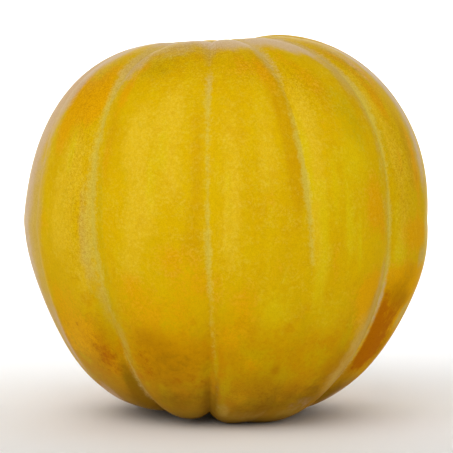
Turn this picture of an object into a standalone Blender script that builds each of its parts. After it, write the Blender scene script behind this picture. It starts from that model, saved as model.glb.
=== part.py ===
# Whole ribbed yellow melon: one closed body, smooth skinned, with twelve lobes
# Metres, +Z up, the origin in the middle of the footprint on the resting surface
# The front of the melon looks towards -Y, and +X is on its right

import math

import bmesh
import bpy
from mathutils import Vector

MILLIMETRE = 0.001

# Overall size: the envelope is the surface that touches the crests of the lobes
GIRTH_RADIUS = 0.0701      # radius at the widest level
DEPTH_RATIO = 0.97         # front to back against side to side
CROWN_RADIUS = 0.0712      # polar radius of the upper half, before it is hollowed
BASE_RADIUS = 0.0807       # polar radius of the lower half, before it is hollowed
CROWN_POWER = 2.12         # fullness of the upper shoulder, 2 is an ellipse
BASE_POWER = 1.86          # fullness of the lower shoulder
HALF_BLEND = 0.40          # sine of the latitude where one half has turned into the other

# Both ends are flattened by a wide hollow with a narrower cup in it
# Each is a depth and the angle off the axis at which its bell has run out
CROWN_HOLLOW = (0.0087, math.radians(30.8))
CROWN_CUP = (0.0030, math.radians(12.0))
BASE_HOLLOW = (0.0126, math.radians(22.6))
BASE_CUP = (0.0050, math.radians(13.0))

# Uneven growth: the right side is taller, and both ends sit a little to the left
CROWN_TALLER_RIGHT = 0.058
BASE_TALLER_RIGHT = 0.067
CROWN_LEAN = -0.0043
BASE_LEAN = -0.0060

# Lobes between the grooves
ROUNDING = 0.0013          # how far a lobe falls away from its crest to its groove
ROUNDING_BELOW = 0.0010    # what the underside adds to that
ROUNDING_POWER = 2.6
CREASE = 0.0008            # narrow crease along the groove's own line
CREASE_BELOW = 0.6         # the share by which the underside deepens it
CREASE_WIDTH = 0.0028
CREASE_POWER = 1.5
SMOOTH_COSINE = 0.09       # cosine of the latitude up to which an end has no lobes
LOBED_COSINE = 0.38        # cosine of the latitude from which the lobes are whole
STRENGTH_BLEND = 0.25      # sine of the latitude where a groove has its strength below
FULLNESS_BLEND = 0.70      # sine of the latitude where a lobe has its own fullness

# One line a groove: its longitude in degrees where the melon is widest, how it
# drifts and bows towards the ends, and its strength above and below
# Longitude 0 is the front, and it grows to the right
GROOVES = (
    (-67.8, 0.0, -19.0, 1.10, 1.20),
    (-40.1, -4.7, 1.5, 1.00, 1.20),
    (-4.9, -1.0, 3.0, 1.00, 1.00),
    (23.5, -1.7, 0.5, 0.85, 0.10),
    (51.5, -0.7, 4.7, 0.90, 1.10),
    (84.0, 8.0, 3.3, 1.10, 0.95),
    (111.5, 2.0, 3.0, 0.95, 1.10),
    (140.5, -2.0, 1.0, 1.05, 1.00),
    (171.5, 1.0, -2.0, 1.00, 1.15),
    (202.0, -1.0, 2.0, 0.90, 1.00),
    (233.0, 2.0, -3.0, 1.05, 1.10),
    (263.0, 1.0, -8.0, 1.00, 1.00),
)

# How much fuller than the envelope each lobe is above and below, in millimetres
# The first lobe lies between the first two grooves
FULLNESS = (
    (0.0, -1.7),
    (0.0, -0.4),
    (0.0, 0.2),
    (0.0, 0.2),
    (0.0, -2.2),
    (0.8, -1.9),
    (0.0, -0.1),
    (0.0, 0.7),
    (0.0, 1.5),
    (0.0, 2.5),
    (0.0, 2.3),
    (-0.3, -1.1),
)

# Scars in the cups, as relief round the axis
STEM_SCAR_RADIUS = 0.0062
STEM_SCAR_RIM = 0.0012
STEM_SCAR_CUP = 0.0016
BLOSSOM_SCAR_RADIUS = 0.0085
BLOSSOM_SCAR_RIM = 0.0009
BLOSSOM_SCAR_CUP = 0.0006
SCAR_RIM_WIDTH = 0.0016

# Resting flat
FOOT_CUT = 0.0008          # how much the lowest lobe is pressed flat

# Faces
COLUMNS_PER_LOBE = 8
ROWS = 46
COLUMN_GATHER = 0.60       # draws the columns towards the grooves
ROW_GATHER = 1.45          # draws the rows towards the ends


def smooth_step(value):
    value = min(max(value, 0.0), 1.0)
    return value * value * (3.0 - 2.0 * value)


def blend(low, high, share):
    return low + (high - low) * share


def bell(off_axis, shape):
    depth, width = shape
    return depth * math.exp(-((off_axis / width) ** 2))


def envelope_radius(latitude):
    """Crest radius: a superellipse meridian less the hollow and the cup at each end."""
    sine = math.sin(latitude)
    cosine = math.cos(latitude)
    share = smooth_step(0.5 + 0.5 * sine / HALF_BLEND)
    polar = blend(BASE_RADIUS, CROWN_RADIUS, share)
    power = blend(BASE_POWER, CROWN_POWER, share)
    total = (abs(cosine) / GIRTH_RADIUS) ** power + (abs(sine) / polar) ** power
    radius = total ** (-1.0 / power)
    off_axis = math.pi / 2.0 - abs(latitude)
    if sine > 0.0:
        return radius - bell(off_axis, CROWN_HOLLOW) - bell(off_axis, CROWN_CUP)
    return radius - bell(off_axis, BASE_HOLLOW) - bell(off_axis, BASE_CUP)


def groove_longitude(index, sine):
    """Longitude of a groove in radians at the latitude with this sine."""
    turns, place = divmod(index, len(GROOVES))
    at_girth, drift, bow = GROOVES[place][:3]
    return math.radians(at_girth + drift * sine + bow * sine * sine + 360.0 * turns)


def groove_strength(index, sine):
    above, below = GROOVES[index % len(GROOVES)][3:]
    return blend(below, above, smooth_step(0.5 + 0.5 * sine / STRENGTH_BLEND))


def lobe_fullness(index, sine):
    above, below = FULLNESS[index]
    own = above if sine > 0.0 else below
    return own * MILLIMETRE * smooth_step(abs(sine) / FULLNESS_BLEND)


def scar_relief(distance, sine):
    """Raised corky rim and shallow cup, by the distance from the melon's axis."""
    if sine > 0.0:
        scar, rim, cup = STEM_SCAR_RADIUS, STEM_SCAR_RIM, STEM_SCAR_CUP
    else:
        scar, rim, cup = BLOSSOM_SCAR_RADIUS, BLOSSOM_SCAR_RIM, BLOSSOM_SCAR_CUP
    ridge = rim * math.exp(-(((distance - scar) / SCAR_RIM_WIDTH) ** 2))
    return ridge - cup * (1.0 - smooth_step(distance / scar))


def skin_point(lobe, across, latitude):
    """Point of the skin: lobe is the lobe's number, and across runs from its left
    groove at 0 to its right groove at 1."""
    sine = math.sin(latitude)
    cosine = math.cos(latitude)
    left = groove_longitude(lobe, sine)
    right = groove_longitude(lobe + 1, sine)
    longitude = blend(left, right, across)
    radius = envelope_radius(latitude)

    fade = smooth_step((cosine - SMOOTH_COSINE) / (LOBED_COSINE - SMOOTH_COSINE))
    from_crest = abs(2.0 * across - 1.0)
    radius += fade * lobe_fullness(lobe, sine) * (1.0 - from_crest ** 2)

    below = max(-sine, 0.0)
    to_groove = min(across, 1.0 - across) * (right - left) * cosine * radius
    rounding = (ROUNDING + ROUNDING_BELOW * below ** 1.5) * from_crest ** ROUNDING_POWER
    crease = CREASE * (1.0 + CREASE_BELOW * below)
    crease *= math.exp(-((to_groove / CREASE_WIDTH) ** CREASE_POWER))
    nearest = lobe if across < 0.5 else lobe + 1
    radius -= fade * groove_strength(nearest, sine) * (rounding + crease)
    radius += scar_relief(radius * cosine, sine)

    if sine > 0.0:
        taller, lean = CROWN_TALLER_RIGHT, CROWN_LEAN
    else:
        taller, lean = BASE_TALLER_RIGHT, BASE_LEAN
    tall = 1.0 + taller * math.sin(longitude) * cosine * abs(sine)
    x = radius * cosine * math.sin(longitude) * tall + lean * sine * sine
    y = -radius * cosine * math.cos(longitude) * DEPTH_RATIO * tall
    z = radius * sine * tall
    return Vector((x, y, z))


def spread_over_skin(bm):
    """Takes a sphere of radius 1 to the melon, with more faces at grooves and ends."""
    for vert in bm.verts:
        turn = math.atan2(vert.co.x, -vert.co.y) / (2.0 * math.pi)
        lobe_place = turn % 1.0 * len(GROOVES)
        lobe = math.floor(lobe_place)
        across = lobe_place - lobe
        across -= COLUMN_GATHER * math.sin(2.0 * math.pi * across) / (2.0 * math.pi)
        height = min(max(vert.co.z, -1.0), 1.0)
        off_axis = 1.0 - abs(math.asin(height)) / (math.pi / 2.0)
        latitude = math.copysign((1.0 - off_axis ** ROW_GATHER) * math.pi / 2.0, height)
        vert.co = skin_point(lobe, across, latitude)


def press_foot_flat(bm):
    """Cuts the lowest lobes level, so that the melon rests on small flats."""
    lowest = min(vert.co.z for vert in bm.verts)
    level = lowest + FOOT_CUT
    everything = bm.verts[:] + bm.edges[:] + bm.faces[:]
    cut = bmesh.ops.bisect_plane(
        bm,
        geom=everything,
        dist=0.000001,
        plane_co=(0.0, 0.0, level),
        plane_no=(0.0, 0.0, -1.0),
        clear_outer=True,
    )
    rim = [item for item in cut["geom_cut"] if isinstance(item, bmesh.types.BMEdge)]
    for edge in rim:
        for vert in edge.verts:
            vert.co.z = level
    bmesh.ops.holes_fill(bm, edges=rim, sides=0)


def stand_on_origin(bm):
    """Puts the middle of the footprint's box on the origin, with the flats at z 0."""
    low = Vector(min(vert.co[axis] for vert in bm.verts) for axis in range(3))
    high = Vector(max(vert.co[axis] for vert in bm.verts) for axis in range(3))
    middle = (low + high) / 2.0
    bmesh.ops.translate(bm, verts=bm.verts, vec=(-middle.x, -middle.y, -low.z))


def skin_material():
    material = bpy.data.materials.new("melon skin")
    material.use_nodes = True
    shader = material.node_tree.nodes["Principled BSDF"]
    shader.inputs["Base Color"].default_value = (0.66, 0.42, 0.02, 1.0)
    shader.inputs["Roughness"].default_value = 0.42
    shader.inputs["Metallic"].default_value = 0.0
    return material


def make_melon():
    bm = bmesh.new()
    columns = COLUMNS_PER_LOBE * len(GROOVES)
    bmesh.ops.create_uvsphere(bm, u_segments=columns, v_segments=ROWS, radius=1.0)
    spread_over_skin(bm)
    press_foot_flat(bm)
    stand_on_origin(bm)
    bmesh.ops.recalc_face_normals(bm, faces=bm.faces)
    mesh = bpy.data.meshes.new("melon")
    bm.to_mesh(mesh)
    bm.free()
    mesh.materials.append(skin_material())
    mesh.shade_smooth()
    mesh.set_sharp_from_angle(angle=math.radians(40.0))
    melon = bpy.data.objects.new("melon", mesh)
    bpy.context.scene.collection.objects.link(melon)


for old in list(bpy.data.objects):
    bpy.data.objects.remove(old)
make_melon()
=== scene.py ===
import math

import bpy
import numpy as np
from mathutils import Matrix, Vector


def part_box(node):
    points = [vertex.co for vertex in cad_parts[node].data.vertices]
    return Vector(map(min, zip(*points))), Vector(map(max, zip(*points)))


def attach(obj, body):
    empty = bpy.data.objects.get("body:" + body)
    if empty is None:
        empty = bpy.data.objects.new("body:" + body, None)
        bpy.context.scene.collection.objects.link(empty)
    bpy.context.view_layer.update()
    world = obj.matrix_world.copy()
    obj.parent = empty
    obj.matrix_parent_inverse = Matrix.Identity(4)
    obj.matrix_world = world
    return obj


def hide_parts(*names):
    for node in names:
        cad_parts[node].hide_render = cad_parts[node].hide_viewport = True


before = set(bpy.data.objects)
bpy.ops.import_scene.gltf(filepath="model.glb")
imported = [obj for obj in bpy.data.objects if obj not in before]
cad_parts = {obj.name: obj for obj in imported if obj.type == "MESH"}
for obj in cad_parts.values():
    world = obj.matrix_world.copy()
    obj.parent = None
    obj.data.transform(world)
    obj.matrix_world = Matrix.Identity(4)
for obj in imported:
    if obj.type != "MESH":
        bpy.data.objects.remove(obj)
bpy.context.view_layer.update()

print("frame loaded")

millimetre = 0.001


# Whole ribbed melon: lengths in metres, angles in degrees, longitude 0 at the front
# and growing to the right, latitude 90 at the stem end
melon = {
    "girthRadius": 0.0701,
    "depthRatio": 0.97,
    "crownRadius": 0.0712,          # polar radii before the ends are hollowed
    "baseRadius": 0.0807,
    "crownPower": 2.12,             # fullness of the shoulders, 2 is an ellipse
    "basePower": 1.86,
    "halfBlend": 0.40,              # the halves blend up to this sine of latitude
    "crownHollow": (0.0087, 30.8),  # depth and width of the bell that flattens an end
    "crownCup": (0.0030, 12.0),
    "baseHollow": (0.0126, 22.6),
    "baseCup": (0.0050, 13.0),
    "crownTallerRight": 0.058,
    "baseTallerRight": 0.067,
    "crownLean": -0.0043,
    "baseLean": -0.0060,
    "rounding": 0.0013,             # fall from a lobe's crest to its groove
    "roundingBelow": 0.0010,        # what the underside adds to that
    "roundingPower": 2.6,
    "crease": 0.0002,               # narrow crease along a groove's own line
    "creaseBelow": 5.0,             # how many times its depth the underside adds
    "creaseWidth": 0.0034,
    "creasePower": 1.6,
    "smoothCosine": 0.09,           # the ends are smooth up to here
    "lobedCosine": 0.38,            # and the lobes are whole from here
    "strengthBlend": 0.25,          # and a groove's two strengths up to this one
    "fullnessBlend": 0.70,          # a lobe's own fullness is whole from this one
    "footCut": 0.0008,              # how much the lowest lobes are cut level
    "stemScar": (0.0062, 0.0012, 0.0016),      # radius, height of the rim, depth of the cup
    "blossomScar": (0.0085, 0.0009, 0.0006),
    "scarRimWidth": 0.0016,
    "columnsPerLobe": 36,
    "rows": 222,
    "columnGather": 0.70,           # draws columns to the grooves
    "rowGather": 1.20,              # draws rows to the ends
    "swellHeight": 0.00022,         # slow unevenness of the whole skin
    "swellCount": 14,
    "swellPaces": (3.0, 11.0),      # slowest and fastest wave, in radians a radius
    "flowSqueeze": 0.3,             # the smaller, the longer the streaks
    # lobe place, latitude, half width in lobes, half height in degrees, height in mm
    "lumps": (
        (4.80, -13.0, 0.50, 9.0, 0.6),
        (4.60, -42.0, 0.50, 9.0, 0.7),
        (-0.40, 44.0, 0.45, 22.0, 0.5),
    ),
    "seed": 11,
}

# one row a groove: longitude, drift and bow in degrees, strength above and below
grooves = np.array((
    (-67.8, 0.0, -19.0, 0.55, 0.70),
    (-40.1, -4.7, 1.5, 1.00, 1.20),
    (-4.9, -1.0, 3.0, 1.00, 1.00),
    (23.5, -1.7, 0.5, 0.85, 0.10),
    (51.5, -0.7, 4.7, 0.90, 1.10),
    (84.0, 8.0, 3.3, 1.10, 0.95),
    (111.5, 2.0, 3.0, 0.95, 1.10),
    (140.5, -2.0, 1.0, 1.05, 1.00),
    (171.5, 1.0, -2.0, 1.00, 1.15),
    (202.0, -1.0, 2.0, 0.90, 1.00),
    (233.0, 2.0, -3.0, 1.05, 1.10),
    (263.0, 1.0, -8.0, 1.00, 1.00),
))

# one row a lobe, the first between the first two grooves: fuller above and below, in mm
fullness = np.array((
    (0.0, -1.7), (0.0, -0.4), (0.0, 0.2), (0.0, 0.2), (0.0, -2.2), (0.8, -1.9),
    (0.0, -0.1), (0.0, 0.7), (0.0, 1.5), (0.0, 2.5), (0.0, 2.3), (-0.3, -1.1),
))


def smoothStep(value):
    value = np.clip(value, 0.0, 1.0)
    return value * value * (3.0 - 2.0 * value)


def blend(low, high, share):
    return low + (high - low) * share


def bell(offAxis, shape):
    # depth times e to the minus square of the angle over the width
    depth, width = shape
    return depth * np.exp(-((offAxis / np.radians(width)) ** 2))


def envelopeRadius(latitude):
    # superellipse meridian, its polar radius and power passing from the lower half's to
    # the upper half's, less a wide and a narrow bell round each end
    sine = np.sin(latitude)
    share = smoothStep(0.5 + 0.5 * sine / melon["halfBlend"])
    polar = blend(melon["baseRadius"], melon["crownRadius"], share)
    power = blend(melon["basePower"], melon["crownPower"], share)
    total = (np.abs(np.cos(latitude)) / melon["girthRadius"]) ** power
    total = total + (np.abs(sine) / polar) ** power
    offAxis = np.pi / 2.0 - np.abs(latitude)
    crown = bell(offAxis, melon["crownHollow"]) + bell(offAxis, melon["crownCup"])
    base = bell(offAxis, melon["baseHollow"]) + bell(offAxis, melon["baseCup"])
    return total ** (-1.0 / power) - np.where(sine > 0.0, crown, base)


def grooveLongitude(index, sine):
    # longitude at the girth plus drift times the sine plus bow times its square
    at, drift, bow = (grooves[index % len(grooves), column] for column in range(3))
    turns = 360.0 * (index // len(grooves))
    return np.radians(at + drift * sine + bow * sine ** 2 + turns)


def scarRelief(distance, sine):
    # round rim at the scar's radius and a shallow cup inside it
    ends = zip(melon["stemScar"], melon["blossomScar"])
    scar, rim, cup = (np.where(sine > 0.0, stem, blossom) for stem, blossom in ends)
    ridge = rim * np.exp(-(((distance - scar) / melon["scarRimWidth"]) ** 2))
    return ridge - cup * (1.0 - smoothStep(distance / scar))


def swells(longitude, latitude):
    # sum of slow waves in random directions over the unit sphere
    random = np.random.default_rng(melon["seed"])
    x = np.cos(latitude) * np.sin(longitude)
    y = -np.cos(latitude) * np.cos(longitude)
    z = np.sin(latitude)
    total = np.zeros_like(x)
    for number in range(melon["swellCount"]):
        way = random.normal(size=3)
        pace = random.uniform(*melon["swellPaces"]) / np.linalg.norm(way)
        phase = random.uniform(0.0, 2.0 * np.pi)
        total += np.sin(pace * (way[0] * x + way[1] * y + way[2] * z) + phase) / pace
    return melon["swellHeight"] * total


def softSpots(lobePlace, latitude, spots):
    # sum of bells over the differences of lobe place and of latitude in degrees
    total = np.zeros_like(latitude)
    for place, at, wide, high, strength in spots:
        aside = lobePlace - place
        aside = aside - len(grooves) * np.round(aside / len(grooves))
        away = (aside / wide) ** 2 + ((latitude - at) / high) ** 2
        total += strength * np.exp(-away)
    return total


def melonSkin(lobePlace, latitude):
    # polar surface: envelope radius, plus each lobe's own fullness, less a rounding that
    # falls from the crest to the groove and a narrow crease along the groove, plus scars,
    # swells and lumps; then the right is enlarged above and below the girth and the left
    # made smaller, and both ends lean to the left;
    # lobePlace runs once from 0 to 12 round the melon, whole numbers lying at the grooves
    sine, cosine = np.sin(latitude), np.cos(latitude)
    lobe = np.floor(lobePlace).astype(int)
    across = lobePlace - lobe
    left = grooveLongitude(lobe, sine)
    right = grooveLongitude(lobe + 1, sine)
    longitude = blend(left, right, across)
    radius = envelopeRadius(latitude)

    lobedSpan = melon["lobedCosine"] - melon["smoothCosine"]
    fade = smoothStep((cosine - melon["smoothCosine"]) / lobedSpan)
    fromCrest = np.abs(2.0 * across - 1.0)
    own = fullness[lobe % len(fullness)]
    own = np.where(sine > 0.0, own[..., 0], own[..., 1]) * millimetre
    own = own * smoothStep(np.abs(sine) / melon["fullnessBlend"])
    radius = radius + fade * own * (1.0 - fromCrest ** 2)

    below = np.maximum(-sine, 0.0)
    gap = np.minimum(across, 1.0 - across) * (right - left) * np.abs(cosine) * radius
    rounding = melon["rounding"] + melon["roundingBelow"] * below ** 1.5
    crease = melon["crease"] * (1.0 + melon["creaseBelow"] * below)
    crease = crease * np.exp(-((gap / melon["creaseWidth"]) ** melon["creasePower"]))
    nearest = np.where(across < 0.5, lobe, lobe + 1) % len(grooves)
    above = smoothStep(0.5 + 0.5 * sine / melon["strengthBlend"])
    strength = blend(grooves[nearest, 4], grooves[nearest, 3], above)
    radius = radius - fade * strength * (rounding * fromCrest ** melon["roundingPower"] + crease)
    radius = radius + scarRelief(radius * cosine, sine) + swells(longitude, latitude)
    lumps = softSpots(lobePlace, np.degrees(latitude), melon["lumps"])
    radius = radius + lumps * millimetre

    taller = np.where(sine > 0.0, melon["crownTallerRight"], melon["baseTallerRight"])
    lean = np.where(sine > 0.0, melon["crownLean"], melon["baseLean"])
    tall = 1.0 + taller * np.sin(longitude) * cosine * np.abs(sine)
    points = np.stack((
        radius * cosine * np.sin(longitude) * tall + lean * sine * sine,
        -radius * cosine * np.cos(longitude) * melon["depthRatio"] * tall,
        radius * sine * tall,
    ), axis=-1)
    facts = {
        "latitude": np.degrees(latitude),
        "lobePlace": lobePlace % len(grooves),
        "side": np.where(across < 0.5, gap, -gap),    # metres right of the nearest groove
        "groove": nearest,
        "distance": radius * cosine,                  # metres from the axis
    }
    return points, facts


def gridPlaces():
    # columns gathered at the grooves by a sine, rows gathered at the ends by a power;
    # the first and last rows are the two ends themselves
    columns = np.arange(len(grooves) * melon["columnsPerLobe"]) / melon["columnsPerLobe"]
    lobe = np.floor(columns)
    across = columns - lobe
    across = across - melon["columnGather"] * np.sin(2.0 * np.pi * across) / (2.0 * np.pi)
    height = np.linspace(-1.0, 1.0, melon["rows"])
    latitude = np.sign(height) * (1.0 - (1.0 - np.abs(height)) ** melon["rowGather"])
    return np.meshgrid(lobe + across, latitude * np.pi / 2.0, indexing="ij")


def closedGridMesh(name, points):
    # quads between neighbouring columns and rows, with a fan round each end's one point
    columns, rows = points.shape[:2]
    inner = points[:, 1:-1].reshape(-1, 3)
    verts = np.concatenate((inner, points[:1, 0], points[:1, -1]))
    south, north = len(inner), len(inner) + 1
    step = rows - 2
    column = np.arange(columns)
    after = (column + 1) % columns
    row = np.arange(step - 1)
    here = (column[:, None] * step + row).ravel()
    there = (after[:, None] * step + row).ravel()
    quads = np.stack((here, there, there + 1, here + 1), axis=1)
    bottom = np.stack((np.full(columns, south), after * step, column * step), axis=1)
    top = (np.full(columns, north), column * step + step - 1, after * step + step - 1)
    top = np.stack(top, axis=1)
    corners = np.concatenate((quads.ravel(), bottom.ravel(), top.ravel()))
    sizes = np.concatenate((np.full(len(quads), 4), np.full(2 * columns, 3)))
    mesh = bpy.data.meshes.new(name)
    mesh.vertices.add(len(verts))
    mesh.vertices.foreach_set("co", verts.astype(np.float32).ravel())
    mesh.loops.add(len(corners))
    mesh.loops.foreach_set("vertex_index", corners.astype(np.int32))
    mesh.polygons.add(len(sizes))
    starts = np.concatenate(((0,), np.cumsum(sizes)[:-1]))
    mesh.polygons.foreach_set("loop_start", starts.astype(np.int32))
    mesh.update(calc_edges=True)
    mesh.validate()
    mesh.shade_smooth()
    return mesh


def gridValues(values):
    # one number a vertex, in closedGridMesh's order
    return np.concatenate((values[:, 1:-1].ravel(), values[:1, 0], values[:1, -1]))


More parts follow.
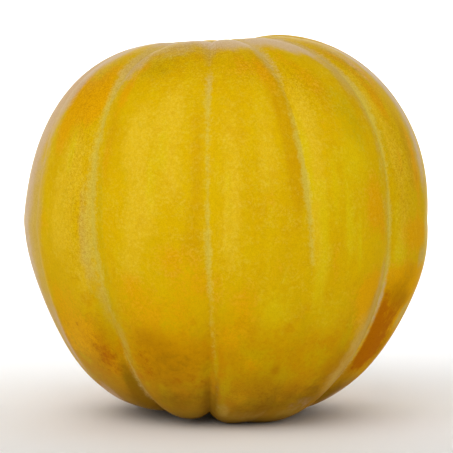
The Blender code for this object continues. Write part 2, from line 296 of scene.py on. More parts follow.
# Colour marks, each a soft spot: lobe place and latitude of its middle, half width in
# lobes, half height in degrees and strength
marks = {
    # lighter yellow patches, partly the skin's own colour, partly painted highlight where the
    # key light falls on each lobe
    "brightAndHighlight": (
        (0.72, 16.0, 0.16, 12.0, 1.0),
        (0.62, 1.0, 0.15, 8.0, 0.8),
        (0.80, -14.0, 0.10, 8.0, 0.5),
        (1.42, 26.0, 0.12, 12.0, 1.0),
        (1.68, 33.0, 0.11, 10.0, 0.9),
        (1.74, 16.0, 0.10, 8.0, 0.8),
        (1.50, 6.0, 0.12, 8.0, 1.0),
        (1.38, -5.0, 0.12, 8.0, 0.8),
        (2.24, 24.0, 0.10, 14.0, 0.5),
        (0.48, 3.0, 0.13, 12.0, 0.6),
        (2.22, 3.0, 0.11, 12.0, 0.9),
        (2.62, 24.0, 0.13, 13.0, 0.8),
        (3.12, 31.0, 0.11, 13.0, 1.0),
        (3.08, 9.0, 0.12, 12.0, 1.0),
        (3.10, -11.0, 0.09, 9.0, 0.7),
        (4.11, 40.0, 0.08, 14.0, 0.6),
        (4.18, 16.0, 0.11, 13.0, 0.8),
        (4.17, -4.0, 0.08, 6.0, 0.7),
        (2.25, -38.0, 0.08, 10.0, 0.5),
    ),
    "lemon": (
        (0.66, 22.0, 0.05, 9.0, 0.7),
        (0.78, 6.0, 0.04, 12.0, 0.6),
        (1.56, 14.0, 0.04, 12.0, 0.7),
        (1.66, 24.0, 0.04, 10.0, 0.6),
        (2.20, 12.0, 0.05, 16.0, 0.5),
        (2.60, 20.0, 0.04, 12.0, 0.4),
        (3.02, 20.0, 0.06, 16.0, 0.8),
        (3.14, 4.0, 0.07, 14.0, 0.9),
        (3.28, 12.0, 0.05, 12.0, 0.8),
        (3.42, 2.0, 0.05, 12.0, 1.0),
        (3.54, -4.0, 0.04, 10.0, 1.0),
        (3.08, -14.0, 0.07, 8.0, 0.7),
        (3.56, 20.0, 0.18, 8.0, 0.8),
        (2.66, -22.0, 0.26, 10.0, 0.7),
        (3.30, -24.0, 0.20, 10.0, 0.5),
        (2.20, -40.0, 0.09, 16.0, 0.4),
        (4.10, 6.0, 0.07, 12.0, 0.5),
        (4.16, -8.0, 0.10, 5.0, 0.7),
    ),
    "green": (
        (1.45, 48.0, 0.22, 4.0, 0.6),
        (1.62, 55.0, 0.30, 5.0, 0.5),
        (3.62, 30.0, 0.18, 10.0, 0.8),
        (2.60, -37.0, 0.34, 9.0, 0.5),
        (2.20, -48.0, 0.08, 12.0, 0.6),
        (0.55, -27.0, 0.14, 6.0, 0.4),
        (1.00, -22.0, 0.15, 10.0, 0.9),
        (0.93, -33.0, 0.08, 6.0, 0.4),
        (1.12, -36.0, 0.08, 7.0, 0.7),
        (1.94, 30.0, 0.04, 15.0, 0.4),
        (2.07, -38.0, 0.04, 7.0, 0.9),
        (1.10, 4.0, 0.05, 20.0, 0.6),
        (3.58, -28.0, 0.07, 12.0, 0.8),
        (2.80, -43.0, 0.30, 7.0, 0.8),
        (3.32, -35.0, 0.18, 7.0, 0.8),
        (4.06, 20.0, 0.03, 14.0, 0.5),
    ),
    # darker orange along groove walls, partly the skin's own colour, partly painted shade on
    # walls turned from the light
    "flankAndShade": (
        (2.87, 34.0, 0.11, 14.0, 1.3),
        (2.88, 14.0, 0.09, 10.0, 1.0),
        (1.15, 28.0, 0.08, 13.0, 0.8),
        (1.92, 18.0, 0.07, 24.0, 0.8),
        (1.84, -2.0, 0.08, 9.0, 0.6),
        (3.42, 40.0, 0.12, 10.0, 0.7),
        (3.80, 36.0, 0.08, 10.0, 0.6),
        (2.07, 25.0, 0.03, 20.0, 0.4),
        (4.38, 22.0, 0.09, 14.0, 1.1),
        (0.10, 10.0, 0.10, 30.0, 0.5),
        (3.56, -18.0, 0.12, 12.0, 0.5),
    ),
    "amber": (
        (0.52, 38.0, 0.24, 8.0, 1.4),
        (0.82, 38.0, 0.14, 8.0, 1.3),
        (0.76, 50.0, 0.14, 4.0, 0.5),
        (0.68, 57.0, 0.07, 2.5, 0.6),
        (0.28, 43.0, 0.10, 3.0, 0.9),
        (0.40, 26.0, 0.16, 6.0, 0.8),
        (0.26, 2.0, 0.14, 5.0, 0.5),
        (0.34, -20.0, 0.30, 6.0, 0.6),
        (0.34, -33.0, 0.28, 8.0, 0.7),
        (0.66, -34.0, 0.22, 8.0, 0.9),
        (0.82, -42.0, 0.14, 4.0, 0.8),
        (1.17, 40.0, 0.07, 7.0, 1.1),
        (1.14, 20.0, 0.05, 8.0, 0.4),
        (1.86, 55.0, 0.12, 4.0, 0.6),
        (1.26, 50.0, 0.08, 2.5, 0.4),
        (1.70, -6.0, 0.16, 5.0, 0.5),
        (1.90, -13.0, 0.18, 6.0, 0.6),
        (1.34, -14.0, 0.12, 4.0, 0.4),
        (1.60, -22.0, 0.36, 8.0, 0.6),
        (1.60, -37.0, 0.42, 8.0, 0.9),
        (2.50, 50.0, 0.34, 5.0, 0.45),
        (2.80, 47.0, 0.14, 8.0, 0.55),
        (2.60, 10.0, 0.06, 4.0, 0.3),
        (2.64, -8.0, 0.08, 5.0, 0.35),
        (2.33, -20.0, 0.16, 9.0, 0.6),
        (2.22, -30.0, 0.12, 4.0, 0.5),
        (2.55, -38.0, 0.26, 4.0, 0.4),
        (3.20, 53.0, 0.14, 7.0, 0.5),
        (3.36, 44.0, 0.14, 6.0, 0.5),
        (3.30, 29.0, 0.06, 3.0, 0.4),
        (3.26, -8.0, 0.06, 6.0, 0.35),
        (3.76, 6.0, 0.14, 8.0, 1.0),
        (3.88, -2.0, 0.08, 6.0, 0.5),
        (3.74, -18.0, 0.12, 7.0, 0.7),
        (3.05, -50.0, 0.10, 2.5, 0.7),
        (2.42, -50.0, 0.14, 3.0, 0.6),
        (4.06, 56.0, 0.07, 8.0, 0.7),
        (4.20, 50.0, 0.06, 8.0, 0.6),
        (4.22, 35.0, 0.08, 7.0, 1.0),
        (4.38, 44.0, 0.07, 10.0, 0.8),
        (4.46, 18.0, 0.07, 14.0, 1.0),
        (4.20, 18.0, 0.04, 4.0, 0.5),
        (4.46, -2.0, 0.22, 4.5, 1.3),
        (4.36, -17.0, 0.60, 5.0, 2.0),
        (4.34, -30.0, 0.50, 12.0, 1.8),
        (4.62, -17.0, 0.20, 4.0, 1.2),
    ),
    "ochre": (
        (1.60, -38.0, 0.42, 10.0, 1.0),
        (0.86, -31.0, 0.12, 8.0, 0.5),
        (1.40, -30.0, 0.16, 5.0, 0.4),
        (2.22, -34.0, 0.14, 6.0, 0.35),
        (4.34, -21.0, 0.20, 4.0, 0.7),
        (2.60, -42.0, 0.30, 6.0, 0.5),
        (2.95, -48.0, 0.40, 6.0, 0.6),
        (3.62, -40.0, 0.24, 9.0, 1.0),
        (3.92, -26.0, 0.10, 9.0, 1.0),
        (3.16, -47.0, 0.07, 3.0, 0.8),
        (2.80, -39.0, 0.06, 2.0, 0.8),
        (4.20, -18.0, 0.30, 5.0, 0.5),
        (4.56, -21.0, 0.16, 4.0, 0.5),
        (4.42, -12.0, 0.16, 3.5, 0.35),
        (4.60, -36.0, 0.22, 6.0, 0.9),
        (4.16, -45.0, 0.20, 5.0, 0.7),
        (0.66, -40.0, 0.20, 8.0, 0.6),
    ),
    "burnt": (
        (4.15, -29.0, 0.13, 8.0, 0.8),
        (4.34, -31.0, 0.18, 8.0, 0.9),
        (4.30, -24.0, 0.20, 4.0, 0.3),
        (4.40, -37.0, 0.26, 5.0, 0.9),
        (4.22, -40.0, 0.14, 3.0, 0.7),
        (4.09, -28.0, 0.05, 9.0, 0.9),
        (4.12, -37.0, 0.05, 4.0, 0.9),
        (0.56, -31.0, 0.12, 4.0, 0.4),
        (0.80, -40.0, 0.12, 7.0, 0.65),
        (0.74, -35.0, 0.10, 4.0, 0.4),
        (1.29, -38.0, 0.08, 6.0, 0.65),
        (1.75, -44.0, 0.34, 4.0, 0.45),
    ),
    # dark brown at the foot and in the lowest groove walls, painted shade
    "footShade": (
        (0.93, -52.0, 0.09, 13.0, 1.0),
        (0.84, -60.0, 0.16, 8.0, 1.0),
        (1.55, -54.0, 0.42, 6.0, 0.7),
        (1.62, -39.0, 0.44, 9.0, 0.42),
        (1.97, -50.0, 0.07, 10.0, 0.4),
        (2.10, -50.0, 0.04, 8.0, 0.5),
        (2.00, -60.0, 0.14, 8.0, 0.7),
        (2.60, -56.0, 0.34, 5.0, 0.55),
        (3.00, -52.0, 0.30, 7.0, 0.6),
        (3.50, -50.0, 0.25, 9.0, 0.8),
        (4.30, -52.0, 0.40, 6.0, 1.0),
    ),
    "speckled": (
        (0.80, 12.0, 0.20, 22.0, 1.0),
        (1.50, 54.0, 0.50, 9.0, 1.3),
        (1.90, 62.0, 0.40, 8.0, 1.2),
        (3.20, 42.0, 0.20, 10.0, 0.8),
        (2.60, 49.0, 0.40, 7.0, 0.8),
        (4.20, 16.0, 0.14, 18.0, 1.0),
        (4.20, 50.0, 0.20, 12.0, 0.8),
        (0.60, 40.0, 0.34, 11.0, 1.0),
        (0.70, -36.0, 0.22, 8.0, 1.0),
        (1.30, -38.0, 0.14, 8.0, 0.6),
        (2.60, -48.0, 0.50, 6.0, 0.5),
    ),
    "rust": (
        (0.78, -33.0, 0.04, 2.0, 0.5),
        (0.72, -44.5, 0.06, 1.4, 0.7),
        (0.52, -28.5, 0.06, 1.2, 0.6),
        (1.27, -35.5, 0.04, 2.0, 0.5),
        (1.32, -40.5, 0.05, 2.0, 0.4),
        (1.18, -45.0, 0.035, 1.6, 0.6),
        (0.86, -37.0, 0.06, 1.6, 0.45),
        (1.30, 40.0, 0.02, 1.0, 0.6),
        (2.42, -16.5, 0.03, 1.2, 0.6),
        (2.08, -29.0, 0.02, 0.8, 0.7),
        (4.12, -42.0, 0.03, 2.0, 0.8),
        (4.46, 14.0, 0.02, 3.0, 0.6),
    ),
    # partly pale tan skin along the grooves, partly painted reflection near the left and lower
    # outline
    "tanAndReflection": (
        (-0.18, -14.0, 0.22, 30.0, 1.2),
        (-0.04, 10.0, 0.16, 24.0, 0.7),
        (0.17, 12.0, 0.10, 16.0, 0.4),
        (-0.14, -44.0, 0.22, 18.0, 1.2),
        (0.90, -1.0, 0.09, 14.0, 0.9),
        (0.99, -22.0, 0.08, 9.0, 0.7),
        (1.10, -33.0, 0.08, 8.0, 0.7),
        (1.08, 52.0, 0.12, 7.0, 0.8),
        (1.50, 63.0, 0.55, 7.0, 1.0),
        (2.00, 56.0, 0.10, 8.0, 0.6),
        (2.75, -59.0, 0.60, 4.0, 0.4),
        (3.45, -56.0, 0.24, 4.0, 0.5),
        (2.26, -57.0, 0.14, 6.0, 0.4),
        (2.95, 54.0, 0.14, 8.0, 0.85),
        (3.88, 46.0, 0.12, 9.0, 0.8),
        (3.95, 20.0, 0.07, 22.0, 0.6),
        (3.93, -14.0, 0.08, 10.0, 0.6),
        (3.91, -31.0, 0.08, 11.0, 0.7),
        (3.78, -32.0, 0.16, 9.0, 0.8),
        (3.70, -44.0, 0.14, 6.0, 0.8),
        (4.54, 32.0, 0.08, 18.0, 0.9),
        (4.64, -8.5, 0.12, 3.0, 1.1),
        (4.72, -26.0, 0.13, 4.5, 1.3),
        (3.94, -20.0, 0.05, 12.0, 0.4),
    ),
    "pale": (
        (0.93, 0.0, 0.07, 13.0, 0.6),
        (2.00, 40.0, 0.06, 7.0, 0.45),
        (4.04, 36.0, 0.05, 10.0, 0.5),
        (3.02, 50.0, 0.06, 6.0, 0.15),
        (3.90, 12.0, 0.04, 10.0, 0.4),
    ),
    # pale pinkish patches near the outline and the crown, painted reflection of the bright
    # studio
    "rimReflection": (
        (-0.24, 40.0, 0.22, 30.0, 1.1),
        (0.10, 32.0, 0.10, 14.0, 0.5),
        (-0.06, 28.0, 0.13, 14.0, 0.35),
        (0.22, 35.0, 0.11, 8.0, 0.5),
        (-0.62, 16.0, 0.34, 36.0, 0.55),
        (2.25, 67.0, 0.30, 6.0, 0.6),
        (4.36, 49.0, 0.12, 9.0, 0.5),
        (4.02, -22.0, 0.03, 12.0, 0.6),
        (3.48, -53.0, 0.24, 4.0, 0.35),
        (0.26, 44.0, 0.08, 7.0, 0.5),
        (0.00, -30.0, 0.12, 14.0, 0.7),
        (0.04, -46.0, 0.12, 9.0, 0.8),
        (-0.34, -14.0, 0.16, 40.0, 0.7),
        (0.16, 52.0, 0.14, 8.0, 1.0),
        (1.10, 50.0, 0.10, 9.0, 0.6),
        (0.36, 61.0, 0.24, 14.0, 1.1),
        (1.55, 58.0, 0.30, 5.0, 0.35),
        (3.50, 57.0, 0.16, 4.0, 0.5),
        (0.80, 71.0, 0.30, 6.0, 0.8),
        (0.34, -56.0, 0.16, 6.0, 0.9),
        (1.50, 71.0, 0.60, 5.0, 0.8),
        (2.60, 64.0, 0.40, 5.0, 1.1),
        (3.30, 68.0, 0.24, 7.0, 1.2),
        (3.55, 62.0, 0.22, 6.0, 1.1),
        (3.76, 55.0, 0.13, 6.0, 0.9),
        (4.07, 70.0, 0.10, 6.0, 0.9),
        (4.66, 46.0, 0.12, 16.0, 1.0),
        (4.62, 20.0, 0.06, 12.0, 0.6),
        (4.92, 42.0, 0.26, 24.0, 1.0),
        (5.30, 46.0, 0.30, 20.0, 0.8),
        (2.00, 68.0, 0.50, 7.0, 0.65),
        (4.60, -54.0, 0.20, 4.0, 0.7),
    ),
    "matt": (
        (4.40, -28.0, 0.50, 22.0, 1.2),
        (4.50, 4.0, 0.30, 12.0, 0.8),
        (0.20, -20.0, 0.30, 26.0, 0.8),
        (0.40, 36.0, 0.30, 12.0, 0.9),
        (0.30, 8.0, 0.20, 14.0, 0.5),
    ),
}

# Pale bands that follow the grooves: a row a groove, and in it a strength for each of
# these latitudes; the far side repeats the near side's rows
bandLatitudes = (-75.0, -55.0, -40.0, -25.0, -8.0, 8.0, 25.0, 40.0, 55.0, 75.0)
bandStrength = np.array((
    (0.1, 0.1, 0.1, 0.1, 0.1, 0.1, 0.1, 0.1, 0.2, 0.3),
    (0.1, 0.55, 0.5, 0.4, 0.75, 0.9, 0.8, 0.9, 1.0, 0.7),
    (0.1, 0.2, 0.3, 0.35, 0.8, 0.8, 0.6, 0.5, 0.2, 0.3),
    (0.1, 0.1, 0.1, 0.1, 0.3, 1.0, 0.8, 0.2, 0.75, 0.8),
    (0.5, 0.6, 0.65, 0.7, 0.9, 0.9, 0.8, 0.9, 1.1, 1.0),
    (0.4, 0.6, 0.5, 0.5, 0.4, 0.4, 0.6, 0.5, 0.6, 0.7),
))

bandWidth = np.array((1.2, 1.9, 1.3, 1.3, 1.3, 1.2))      # half widths in millimetres
bandWiden = 1.3         # share by which the bands are wider near the stem end
bandPower = 1.8         # 2 is a bell, less is more pointed

# How far to the right of its groove a band runs, in millimetres at the same latitudes
bandShift = np.array((
    (0.0, 0.0, 0.0, 0.0, 0.0, 0.0, 0.0, 0.0, 0.0, 0.0),
    (0.0, 0.8, 1.0, 1.8, 1.0, 0.6, 0.3, 0.0, 0.0, 0.0),
    (2.5, 2.5, 1.8, 0.4, 0.0, 0.0, 0.0, 0.0, 0.0, 0.0),
    (0.0, 0.0, 0.0, 0.0, 0.0, -0.5, -1.0, -0.6, 0.0, 0.0),
    (0.6, 0.5, 0.4, 0.3, 0.2, 0.0, 0.0, 0.0, 0.0, 0.0),
    (0.0, 0.0, 0.0, 0.0, 0.0, 0.0, 0.0, 0.0, 0.0, 0.0),
))

# Slow changes of the skin, each from where it starts and over what span: metres from
# the melon's axis for bandEnds and scar, degrees of latitude for the others
regions = {
    "bandEnds": (0.006, 0.012),
    "bandTop": (35.0, 30.0),
    "bloomAndReflection": (32.0, 22.0),        # towards both ends, where the bands turn pinkish-grey: partly wax bloom, partly painted reflection
    "lower": (8.0, 36.0),         # below the girth: partly deeper orange skin, partly painted shade where less light falls from below
    # darker brown towards the underside, painted shade
    "underShade": (34.0, 40.0),
    "scar": (0.006, 0.003),       # the scar fades out here instead
}

# The hidden lobes get marks of the same kinds at random: for each kind how many, and the
# lowest and the highest sine of latitude where they lie
scatter = {
    "seed": 5,
    "lobes": (5.3, 11.9),
    "halfWidth": (0.08, 0.28),
    "halfHeight": (6.0, 18.0),
    "strength": (0.5, 1.0),
    "rustSize": 0.25,             # the size of a rust spot against the others
    "brightAndHighlight": (26, -0.45, 0.80),
    "lemon": (14, -0.70, 0.70),
    "green": (8, -0.70, 0.85),
    "flankAndShade": (8, -0.50, 0.80),
    "amber": (32, -0.75, 0.85),
    "ochre": (10, -0.88, -0.35),
    "burnt": (6, -0.75, -0.35),
    # painted shade near the foot of the hidden lobes
    "footShade": (8, -0.95, -0.75),
    "speckled": (20, -0.60, 0.90),
    "rust": (12, -0.85, 0.00),
    "tanAndReflection": (12, -0.90, 0.90),
    "pale": (6, -0.60, 0.60),
    # painted reflection near the crown of the hidden lobes
    "rimReflection": (8, 0.75, 0.97),
    "matt": (6, -0.80, 0.80),
}


def hiddenMarks(kind, random):
    # random spots on the lobes that the marks above leave out
    size = scatter["rustSize"] if kind == "rust" else 1.0
    count, lowest, highest = scatter[kind]
    for number in range(count):
        place = random.uniform(*scatter["lobes"])
        latitude = np.degrees(np.arcsin(random.uniform(lowest, highest)))
        wide = size * random.uniform(*scatter["halfWidth"])
        high = size * random.uniform(*scatter["halfHeight"])
        yield place, latitude, wide, high, random.uniform(*scatter["strength"])


def region(name, value):
    # smooth step from 0 where the region starts to 1 a span further on
    start, span = regions[name]
    return smoothStep((value - start) / span)


def alongBands(facts, rows):
    # each groove's own row read at each latitude, by straight lines between the knots
    total = np.zeros_like(facts["latitude"])
    for groove in range(len(grooves)):
        row = rows[groove % len(rows)]
        own = np.interp(facts["latitude"], bandLatitudes, row)
        total = np.where(facts["groove"] == groove, own, total)
    return total


def skinMasks(facts):
    # soft spots for each kind of mark; the bands are bells over the distance from the
    # nearest groove, less their own shift
    latitude = facts["latitude"]
    side = facts["side"] / millimetre - alongBands(facts, bandShift)
    width = bandWidth[facts["groove"] % len(bandWidth)]
    width = width * (1.0 + bandWiden * region("bandTop", latitude))
    random = np.random.default_rng(scatter["seed"])
    masks = {}
    for kind, spots in marks.items():
        spots = spots + tuple(hiddenMarks(kind, random))
        masks[kind] = softSpots(facts["lobePlace"], latitude, spots)
    strength = alongBands(facts, bandStrength) * region("bandEnds", facts["distance"])
    masks["pale"] += np.exp(-((np.abs(side) / width) ** bandPower)) * strength
    # partly wax bloom, partly painted reflection towards both ends
    masks["bloomAndReflection"] = region("bloomAndReflection", np.abs(latitude))
    # partly deeper orange skin, partly painted shade below the girth
    masks["lower"] = region("lower", -latitude)
    # painted shade: darker towards the underside
    masks["underShade"] = region("underShade", -latitude)
    masks["scar"] = 1.0 - region("scar", facts["distance"])
    return masks


def flowPlaces(facts):
    # a cylinder round the melon, squeezed along its axis, so that noise read at these
    # points comes out as streaks from end to end
    turn = 2.0 * np.pi * facts["lobePlace"] / len(grooves)
    along = np.radians(facts["latitude"]) * melon["flowSqueeze"]
    return melon["girthRadius"] * np.stack((np.sin(turn), -np.cos(turn), along), axis=-1)


# Shader arithmetic
class Wire:
    # one socket of a material; the operators add Math nodes
    def __init__(self, tree, socket):
        self.tree = tree
        self.socket = socket

    def node(self, kind, settings=None, values=None, output=0):
        # any node: its settings first, then the values or links of its sockets
        new = self.tree.nodes.new(kind)
        for name, value in (settings or {}).items():
            setattr(new, name, value)
        for name, value in (values or {}).items():
            if isinstance(value, Wire):
                self.tree.links.new(value.socket, new.inputs[name])
            else:
                new.inputs[name].default_value = value
        return Wire(self.tree, new.outputs[output])

    def math(self, operation, first, second=0.0, clamp=False):
        settings = {"operation": operation, "use_clamp": clamp}
        return self.node("ShaderNodeMath", settings, {0: first, 1: second})

    def __add__(self, other):
        return self.math("ADD", self, other)

    def __radd__(self, other):
        return self.math("ADD", other, self)

    def __sub__(self, other):
        return self.math("SUBTRACT", self, other)

    def __rsub__(self, other):
        return self.math("SUBTRACT", other, self)

    def __mul__(self, other):
        return self.math("MULTIPLY", self, other)

    def __rmul__(self, other):
        return self.math("MULTIPLY", other, self)

    def clipped(self):
        # kept from 0 to 1
        return self.math("ADD", self, 0.0, clamp=True)

    def step(self, low, high):
        # smooth step from 0 at low to 1 at high
        settings = {"interpolation_type": "SMOOTHSTEP"}
        values = {"Value": self, "From Min": low, "From Max": high}
        return self.node("ShaderNodeMapRange", settings, values)

    def mix(self, first, second):
        # first colour where this wire is 0, second where it is 1; sockets 0, 6 and 7 are
        # the factor and the two colours, and output 2 is the mixed colour
        settings = {"data_type": "RGBA", "blend_type": "MIX"}
        values = {0: self, 6: first, 7: second}
        return self.node("ShaderNodeMix", settings, values, output=2)

    def tinted(self, tint):
        # this wire's colour times the tint
        settings = {"data_type": "RGBA", "blend_type": "MULTIPLY"}
        return self.node("ShaderNodeMix", settings, {0: 1.0, 6: self, 7: tint}, output=2)


# Rind: colours are linear light
finish = {
    "golden": (0.730, 0.460, 0.001, 1.0),
    "deeper": (0.69, 0.410, 0.001, 1.0),
    "amber": (0.775, 0.395, 0.001, 1.0),
    "burnt": (0.49, 0.155, 0.001, 1.0),
    "ochre": (0.50, 0.225, 0.001, 1.0),
    # painted shade at the foot
    "footShade": (0.27, 0.135, 0.003, 1.0),
    # partly lighter skin, partly painted highlight
    "brightAndHighlight": (0.770, 0.500, 0.012, 1.0),
    "lemon": (0.735, 0.535, 0.003, 1.0),
    "green": (0.60, 0.405, 0.001, 1.0),
    "rust": (0.42, 0.100, 0.001, 1.0),
    # partly deeper orange skin, partly painted shade
    "flankAndShade": (0.66, 0.365, 0.001, 1.0),
    "pale": (0.67, 0.510, 0.065, 1.0),
    # partly pale tan skin, partly painted reflection
    "tanAndReflection": (0.64, 0.430, 0.090, 1.0),
    # painted reflection
    "rimReflection": (0.67, 0.480, 0.320, 1.0),
    # partly wax bloom, partly painted reflection
    "bloomAndReflection": (0.65, 0.455, 0.150, 1.0),
    # partly deeper orange skin, partly painted shade below the girth
    "lower": (0.60, 0.305, 0.001, 1.0),
    # painted shade of the underside
    "underShade": (0.33, 0.185, 0.015, 1.0),
    "scar": (0.40, 0.310, 0.180, 1.0),
    "ripe": (0.62, 0.265, 0.001, 1.0),
    "fleck": (0.77, 0.580, 0.070, 1.0),
    "poreTint": (0.82, 0.73, 0.42, 1.0),      # what the darkest pores multiply by
    "speckTint": (0.84, 0.72, 0.50, 1.0),
    "deeperShare": 0.60,          # the most that streaks, strokes, flecks and specks tint
    "strokeShare": 0.30,
    "fleckShare": 0.28,
    "speckShare": 0.62,
    "noiseMiddle": 0.5,           # what a noise's values gather about
    "brightPatches": 0.08,        # how much more flecked the bright marks are
    "bloomPores": 0.05,           # how much more pored the bloom is
    # a row a noise: the coordinates it is read at, scale, detail and roughness
    "noises": {
        "streaks": ("flow", 120.0, 3.0, 0.55),
        "strokes": ("flow", 330.0, 3.0, 0.60),
        "clouds": ("place", 60.0, 4.0, 0.60),
        "blotches": ("place", 150.0, 3.0, 0.60),
        "mottle": ("place", 330.0, 4.0, 0.65),
        "specks": ("place", 780.0, 3.0, 0.70),
        "flecks": ("place", 1000.0, 3.0, 0.65),
        "pores": ("place", 2600.0, 1.0, 0.50),
    },
    # weights of the noises that are added up
    "mixes": {
        "patches": {"mottle": 0.6, "clouds": 0.4},
        "pores": {"pores": 0.65, "flecks": 0.35},
        "relief": {"mottle": 0.5, "flecks": 0.3, "pores": 0.2},
    },
    # how strongly each noise breaks up an edge of that kind
    "edges": {
        "ragged": {"clouds": 0.9, "mottle": 0.8, "streaks": 0.8},
        "stippled": {"clouds": 0.9, "mottle": 0.8, "streaks": 0.8, "flecks": 0.9},
        "blotched": {"clouds": 0.9, "mottle": 1.0, "flecks": 0.6},
    },
    # a row a layer: its kind of edge and how much of it, the values of the mask where the
    # layer starts and where it is whole, and its share there
    "layers": {
        # partly painted highlight
        "brightAndHighlight": ("ragged", 1.0, 0.15, 0.85, 1.0),
        # partly painted shade
        "flankAndShade": ("ragged", 0.6, 0.15, 0.95, 0.9),
        # partly painted shade below the girth
        "lower": ("ragged", 0.5, 0.00, 1.00, 1.0),
        "lemon": ("ragged", 1.0, 0.15, 0.95, 1.0),
        "green": ("stippled", 1.0, 0.15, 0.95, 0.9),
        "amber": ("stippled", 1.1, 0.15, 0.85, 1.0),
        "ochre": ("blotched", 0.8, 0.05, 1.10, 0.9),
        # painted shade at the foot
        "footShade": ("blotched", 0.8, 0.15, 1.00, 0.8),
        # partly painted reflection
        "tanAndReflection": ("ragged", 0.9, 0.20, 1.05, 0.8),
        "burnt": ("blotched", 1.5, 0.15, 1.15, 1.0),
        "rust": ("stippled", 1.2, 0.30, 0.90, 0.7),
        "pale": ("stippled", 1.2, 0.12, 0.95, 0.85),
        # painted reflection
        "rimReflection": ("ragged", 1.0, 0.10, 1.05, 0.85),
        "scar": ("ragged", 0.5, 0.40, 0.80, 1.0),
        "matt": ("ragged", 0.5, 0.10, 0.90, 0.85),
    },
    # values between which a noise, or for edge a mask, goes from nothing to all
    "cuts": {
        "edge": (0.0, 0.3),
        "deeper": (0.40, 0.70),
        "strokes": (0.48, 0.72),
        "ripe": (0.50, 0.66),
        "young": (0.34, 0.50),
        "patches": (0.44, 0.60),
        "flecks": (0.40, 0.70),
        "specks": (0.48, 0.66),
        "pores": (0.36, 0.60),
    },
    # a share that holds everywhere, and what each mask adds to it
    "often": {
        "ripe": (0.12, {"lower": 0.7}),
        "young": (0.15, {"lower": 0.5}),
        "flecks": (1.0, {"lower": -1.0, "amber": -0.35}),
        "specks": (0.12, {"speckled": 0.8, "lower": 0.5}),
        "pores": (0.5, {"speckled": 0.6, "lower": -0.25}),
    },
    "roughness": 0.40,
    "roughnessRange": 0.16,
    "waxShare": 0.55,
    "waxIndex": 1.075,            # low, so that only grazing views reflect the studio
    "waxRoughness": 0.28,
    "grainDepth": 0.0002,
    "grainStrength": 0.4,
}


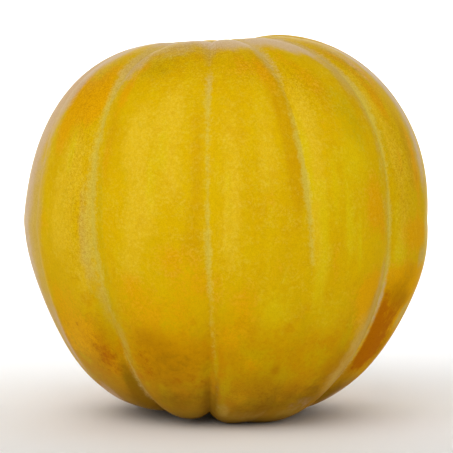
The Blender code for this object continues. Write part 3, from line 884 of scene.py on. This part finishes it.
def skinMaterial():
    material = bpy.data.materials.new("melonRind")
    material.use_nodes = True
    tree = material.node_tree
    shader = tree.nodes["Principled BSDF"]
    start = Wire(tree, None)
    flow = {"attribute_name": "flow"}
    coordinates = {
        "place": start.node("ShaderNodeTexCoord", output=3),              # Object
        "flow": start.node("ShaderNodeAttribute", flow, output=1),        # Vector
    }
    noises = {}
    for name, (where, scale, detail, roughness) in finish["noises"].items():
        values = {"Vector": coordinates[where], "Scale": scale}
        values.update({"Detail": detail, "Roughness": roughness})
        noises[name] = start.node("ShaderNodeTexNoise", None, values)
    edges = {}
    middle = finish["noiseMiddle"]
    for name, amounts in finish["edges"].items():
        parts = ((noises[part] - middle) * amount for part, amount in amounts.items())
        edges[name] = sum(parts)
    cuts = finish["cuts"]

    def mask(name):
        # the attribute's Factor output
        return start.node("ShaderNodeAttribute", {"attribute_name": name}, output=2)

    def mixed(name):
        # sum of the noises, each times its weight
        return sum(noises[part] * weight for part, weight in finish["mixes"][name].items())

    def often(name):
        # the share everywhere plus each mask times its own, kept from 0 to 1
        everywhere, added = finish["often"][name]
        total = sum((mask(part) * share for part, share in added.items()), everywhere)
        return total.clipped()

    def spread(name):
        # a mask with its edge broken up by the noise, and still 0 where the mask is 0
        edge, amount, low, high, share = finish["layers"][name]
        plain = mask(name)
        broken = plain + edges[edge] * amount * plain.step(*cuts["edge"])
        return broken.step(low, high) * share

    def layered(colour, *names):
        # each layer in its own colour over the ones before
        for name in names:
            colour = spread(name).mix(colour, finish[name])
        return colour

    deeper = noises["streaks"].step(*cuts["deeper"]) * finish["deeperShare"]
    colour = deeper.mix(finish["golden"], finish["deeper"])
    strokes = noises["strokes"].step(*cuts["strokes"]) * finish["strokeShare"]
    colour = strokes.mix(colour, finish["lemon"])
    # the first of these layers is partly painted highlight, and the next two are partly painted
    # shade
    colour = layered(colour, "brightAndHighlight", "flankAndShade", "lower")
    ripe = noises["blotches"].step(*cuts["ripe"]) * often("ripe")
    colour = ripe.mix(colour, finish["ripe"])
    young = (1.0 - noises["blotches"].step(*cuts["young"])) * often("young")
    colour = young.mix(colour, finish["green"])
    colour = layered(colour, "lemon", "green", "amber", "ochre")
    # painted shade: the underside darkened towards the foot
    colour = mask("underShade").mix(colour, finish["underShade"])
    # the first of these layers is painted shade at the foot; the second is partly pale tan skin,
    # partly painted reflection near the outline
    colour = layered(colour, "footShade", "tanAndReflection", "burnt", "rust")
    # towards both ends the bands turn pinkish-grey, partly wax bloom and partly painted
    # reflection
    band = mask("bloomAndReflection").mix(finish["pale"], finish["bloomAndReflection"])
    colour = spread("pale").mix(colour, band)
    # the first of these layers is painted reflection near the outline and the crown
    colour = layered(colour, "rimReflection", "scar")

    patches = mixed("patches") + mask("brightAndHighlight") * finish["brightPatches"]
    patches = patches.step(*cuts["patches"]) * noises["flecks"].step(*cuts["flecks"])
    flecks = patches * finish["fleckShare"] * often("flecks")
    colour = flecks.mix(colour, finish["fleck"])
    specks = noises["specks"].step(*cuts["specks"]) * often("specks") * finish["speckShare"]
    colour = specks.mix(colour, colour.tinted(finish["speckTint"]))
    filled = (mixed("pores") - mask("bloomAndReflection") * finish["bloomPores"]).step(*cuts["pores"])
    pores = (1.0 - filled) * often("pores")
    colour = pores.mix(colour, colour.tinted(finish["poreTint"]))
    tree.links.new(colour.socket, shader.inputs["Base Color"])

    rough = (noises["mottle"] - middle) * finish["roughnessRange"] + finish["roughness"]
    tree.links.new(rough.socket, shader.inputs["Roughness"])
    shader.inputs["Specular IOR Level"].default_value = 0.0
    wax = finish["waxShare"] * (1.0 - spread("matt"))
    tree.links.new(wax.socket, shader.inputs["Coat Weight"])
    shader.inputs["Coat Roughness"].default_value = finish["waxRoughness"]
    shader.inputs["Coat IOR"].default_value = finish["waxIndex"]
    values = {"Strength": finish["grainStrength"], "Distance": finish["grainDepth"]}
    values["Height"] = mixed("relief")
    bumped = start.node("ShaderNodeBump", None, values)
    tree.links.new(bumped.socket, shader.inputs["Normal"])
    return material


def newObject(name, data):
    made = bpy.data.objects.new(name, data)
    bpy.context.scene.collection.objects.link(made)
    return made


def makeMelon():
    # the surface cut level at its foot and stretched to the node's box
    lobePlace, latitude = gridPlaces()
    points, facts = melonSkin(lobePlace, latitude)
    level = points[..., 2].min() + melon["footCut"]
    points[..., 2] = np.maximum(points[..., 2], level)
    low, high = points.min(axis=(0, 1)), points.max(axis=(0, 1))
    nodeLow, nodeHigh = (np.array(corner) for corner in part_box("melon"))
    points = nodeLow + (points - low) * (nodeHigh - nodeLow) / (high - low)
    mesh = closedGridMesh("melonSkin", points)
    for name, values in skinMasks(facts).items():
        layer = mesh.attributes.new(name, "FLOAT", "POINT")
        layer.data.foreach_set("value", gridValues(values).astype(np.float32))
    flow = flowPlaces(facts)
    flow = np.stack([gridValues(flow[..., axis]) for axis in range(3)], axis=-1)
    layer = mesh.attributes.new("flow", "FLOAT_VECTOR", "POINT")
    layer.data.foreach_set("vector", flow.astype(np.float32).ravel())
    mesh.materials.append(skinMaterial())
    skin = newObject("melonSkin", mesh)
    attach(skin, "root")
    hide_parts("melon")


makeMelon()
print("melon made")


# Studio: lengths in metres, angles in degrees
studio = {
    "distance": 0.900,
    "elevation": 4.6,
    "aim": (0.0, 0.0, 0.0651),
    "viewWidth": 0.1572,         # what the picture's width spans at the melon
    "sensor": 36.0,
    "floorHalf": 4.0,
    "floorBack": 1.2,
    "wallHeight": 2.4,
    "wallCurve": 0.8,
    "curvePoints": 25,
    "floorColour": (0.88, 0.88, 0.88, 1.0),
    "floorRoughness": 0.9,
    "world": (1.0, 1.0, 1.0, 1.0),
    "worldStrength": 0.20,
}

# Soft lamps: azimuth to the right of the camera and elevation as seen from the melon
lamps = {
    "key": {"azimuth": -25.0, "elevation": 36.0, "away": 1.8, "size": 1.9, "power": 18.5},
    "left": {"azimuth": -80.0, "elevation": 26.0, "away": 1.8, "size": 1.4, "power": 3.3},
    "fill": {"azimuth": 60.0, "elevation": 15.0, "away": 1.8, "size": 1.6, "power": 4.7},
    "right": {"azimuth": 90.0, "elevation": 35.0, "away": 1.6, "size": 1.2, "power": 2.2},
    "front": {"azimuth": 0.0, "elevation": 6.0, "away": 1.8, "size": 1.8, "power": 3.4},
    "over": {"azimuth": 10.0, "elevation": 65.0, "away": 1.6, "size": 1.6, "power": 5.3},
}

# The backdrop's own lamp hangs behind the melon and looks away from it
backdropLamp = {"place": (0.0, 0.8, 1.1), "aim": (0.0, 2.0, 0.1), "size": 1.2, "power": 34.0}


def makeFloor():
    # profile along y: level floor, quarter circle, upright wall; extruded along x
    turn = np.radians(np.linspace(0.0, 90.0, studio["curvePoints"]))
    curve, half = studio["wallCurve"], studio["floorHalf"]
    along = [-half]
    up = [0.0]
    along += list(studio["floorBack"] + curve * np.sin(turn))
    up += list(curve * (1.0 - np.cos(turn)))
    along.append(studio["floorBack"] + curve)
    up.append(studio["wallHeight"])
    verts = [(x, y, z) for x in (-half, half) for y, z in zip(along, up)]
    count = len(along)
    faces = [(i, i + count, i + count + 1, i + 1) for i in range(count - 1)]
    mesh = bpy.data.meshes.new("studioFloor")
    mesh.from_pydata(verts, [], faces)
    mesh.shade_smooth()
    material = bpy.data.materials.new("paleFloor")
    material.use_nodes = True
    shader = material.node_tree.nodes["Principled BSDF"]
    shader.inputs["Base Color"].default_value = studio["floorColour"]
    shader.inputs["Roughness"].default_value = studio["floorRoughness"]
    mesh.materials.append(material)
    floor = newObject("studioFloor", mesh)


def makeLamp(name, place, outward, facts):
    # a lamp shines away from its own +Z, so that axis points outward
    light = bpy.data.lights.new(name, "AREA")
    light.shape = "SQUARE"
    light.size = facts["size"]
    light.energy = facts["power"]
    lamp = newObject(name, light)
    lamp.location = place
    lamp.rotation_euler = outward.to_track_quat("Z", "Y").to_euler()


def makeLamps():
    for name, facts in lamps.items():
        azimuth, elevation = math.radians(facts["azimuth"]), math.radians(facts["elevation"])
        level = math.cos(elevation)
        outward = (level * math.sin(azimuth), -level * math.cos(azimuth), math.sin(elevation))
        outward = Vector(outward)
        makeLamp(name, Vector(studio["aim"]) + facts["away"] * outward, outward, facts)
    place, aim = Vector(backdropLamp["place"]), Vector(backdropLamp["aim"])
    makeLamp("backdrop", place, place - aim, backdropLamp)


def makeWorld():
    world = bpy.data.worlds.new("studioWorld")
    world.use_nodes = True
    background = world.node_tree.nodes["Background"]
    background.inputs["Color"].default_value = studio["world"]
    background.inputs["Strength"].default_value = studio["worldStrength"]
    bpy.context.scene.world = world


def makeCamera():
    elevation = math.radians(studio["elevation"])
    back = Vector((0.0, -math.cos(elevation), math.sin(elevation)))
    data = bpy.data.cameras.new("photoCamera")
    data.sensor_fit = "HORIZONTAL"
    data.sensor_width = studio["sensor"]
    data.lens = studio["sensor"] * studio["distance"] / studio["viewWidth"]
    camera = newObject("photoCamera", data)
    camera.location = Vector(studio["aim"]) + back * studio["distance"]
    camera.rotation_euler = (-back).to_track_quat("-Z", "Y").to_euler()
    bpy.context.scene.camera = camera


makeFloor()
makeLamps()
makeWorld()
makeCamera()
bpy.context.scene.view_settings.view_transform = "Standard"
print("studio made")
